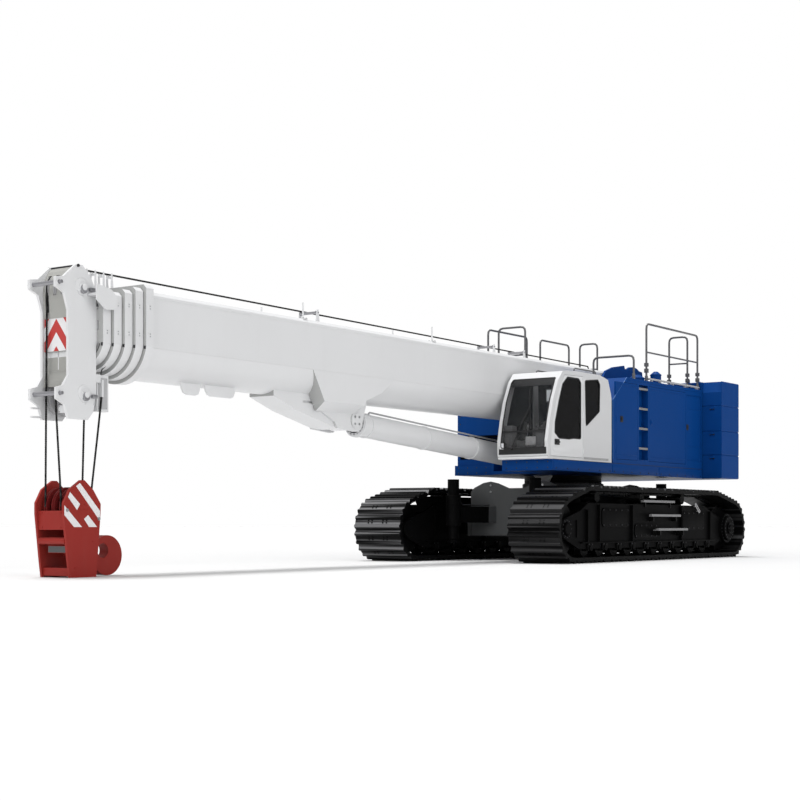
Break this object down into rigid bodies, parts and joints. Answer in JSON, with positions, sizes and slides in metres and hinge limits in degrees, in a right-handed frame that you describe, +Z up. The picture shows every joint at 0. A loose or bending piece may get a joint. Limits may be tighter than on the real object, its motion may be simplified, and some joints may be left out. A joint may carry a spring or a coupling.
{
  "type": "telescopic crawler crane",
  "caption": "Crawler crane with a nested telescopic boom laid level, a lift cylinder below it, a side cab, rear counterweight and a hook block on the ground.",
  "frame": {"origin": "on the slewing axis at ground level", "axes": "+X forward along the level boom, +Y to the cab's side, +Z up"},
  "size_m": [17.3948, 4.24, 4.57],
  "materials": {
    "boom_white": "gloss",
    "chassis_black": "satin",
    "track_black": "satin",
    "carbody_grey": "satin",
    "panel_blue": "satin",
    "rail_grey": "satin",
    "hook_red": "gloss",
    "sheave_steel": "satin",
    "rope_steel": "satin",
    "rod_chrome": "polished",
    "cab_glass": "gloss",
    "seat_fabric": "matte",
    "step_light": "satin"
  },
  "bodies": {
    "carbody": {"carbody": "carbody_grey", "carbody_jacks": "chassis_black", "slew_ring": "chassis_black"},
    "crawler_left": {"track_left": "track_black", "side_frame_left": "chassis_black", "idler_left": "chassis_black", "sprocket_left": "chassis_black", "final_drive_left": "chassis_black", "rollers_left": "chassis_black", "axle_beams_left": "chassis_black", "track_steps_left": "step_light"},
    "crawler_right": {"track_right": "track_black", "side_frame_right": "chassis_black", "idler_right": "chassis_black", "sprocket_right": "chassis_black", "final_drive_right": "chassis_black", "rollers_right": "chassis_black", "axle_beams_right": "chassis_black", "track_steps_right": "step_light"},
    "upper": {"turntable_frame": "carbody_grey", "boom_foot_pin": "sheave_steel", "lift_foot_pin": "sheave_steel", "deck_left": "panel_blue", "deck_right": "panel_blue", "cab_shell": "boom_white", "cab_glass": "cab_glass", "cab_seat": "seat_fabric", "house_left": "panel_blue", "house_right": "panel_blue", "engine": "chassis_black", "counterweight_slab_1": "panel_blue", "counterweight_slab_2": "panel_blue", "counterweight_slab_3": "panel_blue", "counterweight_slab_4": "panel_blue", "counterweight_carrier": "carbody_grey", "winch_main": "hook_red", "winch_aux": "hook_red", "handrails_left": "rail_grey", "handrails_right": "rail_grey", "roof_fittings": "rail_grey"},
    "cab_door": {"cab_door": "boom_white", "cab_door_glass": "cab_glass"},
    "house_door_front": {"house_door_front": "panel_blue"},
    "house_door_rear": {"house_door_rear": "panel_blue"},
    "boom_base": {"boom_base": "boom_white"},
    "boom_section_2": {"boom_section_2": "boom_white"},
    "boom_section_3": {"boom_section_3": "boom_white"},
    "boom_section_4": {"boom_section_4": "boom_white"},
    "boom_section_5": {"boom_section_5": "boom_white"},
    "boom_tip": {"boom_tip": "boom_white", "head_sheaves": "sheave_steel", "jib_pins": "sheave_steel"},
    "lift_barrel": {"lift_cylinder_barrel": "boom_white"},
    "lift_rod": {"lift_cylinder_rod": "rod_chrome"},
    "hook_hanger": {"rope_falls": "rope_steel", "rope_lead": "rope_steel"},
    "hook_block": {"hook_block": "hook_red", "hook_sheaves": "sheave_steel"},
    "hook": {"hook": "hook_red"}
  },
  "joints": [
    {"name": "crawler_left_extend", "type": "slide", "parent": "carbody", "child": "crawler_left", "axis": [0, 1, 0], "range_m": [0, 0.9]},
    {"name": "crawler_right_extend", "type": "slide", "parent": "carbody", "child": "crawler_right", "axis": [0, -1, 0], "range_m": [0, 0.9]},
    {"name": "slew", "type": "hinge", "parent": "carbody", "child": "upper", "pos_m": [0, 0, 1.5225], "axis": [0, 0, 1], "continuous": true},
    {"name": "cab_door_hinge", "type": "hinge", "parent": "upper", "child": "cab_door", "pos_m": [2.133, 1.582, 2.6], "axis": [0, 0, 1], "range_deg": [0, 100]},
    {"name": "house_door_front_hinge", "type": "hinge", "parent": "upper", "child": "house_door_front", "pos_m": [0.837, 1.582, 2.6], "axis": [0, 0, -1], "range_deg": [0, 95]},
    {"name": "house_door_rear_hinge", "type": "hinge", "parent": "upper", "child": "house_door_rear", "pos_m": [-2.227, 1.582, 2.6], "axis": [0, 0, 1], "range_deg": [0, 95]},
    {"name": "boom_luff", "type": "hinge", "parent": "upper", "child": "boom_base", "pos_m": [-1.9, 0, 3.35], "axis": [0, -1, 0], "range_deg": [0, 80]},
    {"name": "section_2_extend", "type": "slide", "parent": "boom_base", "child": "boom_section_2", "axis": [1, 0, 0], "range_m": [0, 10.4]},
    {"name": "section_3_extend", "type": "slide", "parent": "boom_section_2", "child": "boom_section_3", "axis": [1, 0, 0], "range_m": [0, 10.4]},
    {"name": "section_4_extend", "type": "slide", "parent": "boom_section_3", "child": "boom_section_4", "axis": [1, 0, 0], "range_m": [0, 10.4]},
    {"name": "section_5_extend", "type": "slide", "parent": "boom_section_4", "child": "boom_section_5", "axis": [1, 0, 0], "range_m": [0, 10.4]},
    {"name": "tip_extend", "type": "slide", "parent": "boom_section_5", "child": "boom_tip", "axis": [1, 0, 0], "range_m": [0, 10.4]},
    {"name": "lift_barrel_swing", "type": "hinge", "parent": "upper", "child": "lift_barrel", "pos_m": [1.3, 0, 1.875], "axis": [0, -1, 0], "range_deg": [0, 89.19]},
    {"name": "lift_rod_slide", "type": "slide", "parent": "lift_barrel", "child": "lift_rod", "axis": [0.9975, 0, 0.0712], "range_m": [0, 4.3565]},
    {"name": "hook_hang", "type": "hinge", "parent": "boom_tip", "child": "hook_hanger", "pos_m": [12.91, 0, 2.29], "axis": [0, -1, 0], "range_deg": [-80, 0]},
    {"name": "hook_hoist", "type": "slide", "parent": "hook_hanger", "child": "hook_block", "axis": [0, 0, 1], "range_m": [0, 0.5], "deforming": ["rope_falls", "rope_lead"]},
    {"name": "hook_tilt", "type": "hinge", "parent": "hook_block", "child": "hook", "pos_m": [12.62, 0, 0.3], "axis": [0, -1, 0], "range_deg": [0, 90]}
  ],
  "couplings": [
    {"joint": "lift_barrel_swing", "follows": "boom_luff", "ratio": 1.1148},
    {"joint": "lift_rod_slide", "follows": "boom_luff", "m_per_rad": 3.1194},
    {"joint": "hook_hang", "follows": "boom_luff", "ratio": -1},
    {"joint": "hook_tilt", "follows": "boom_luff", "ratio": 1.125}
  ]
}
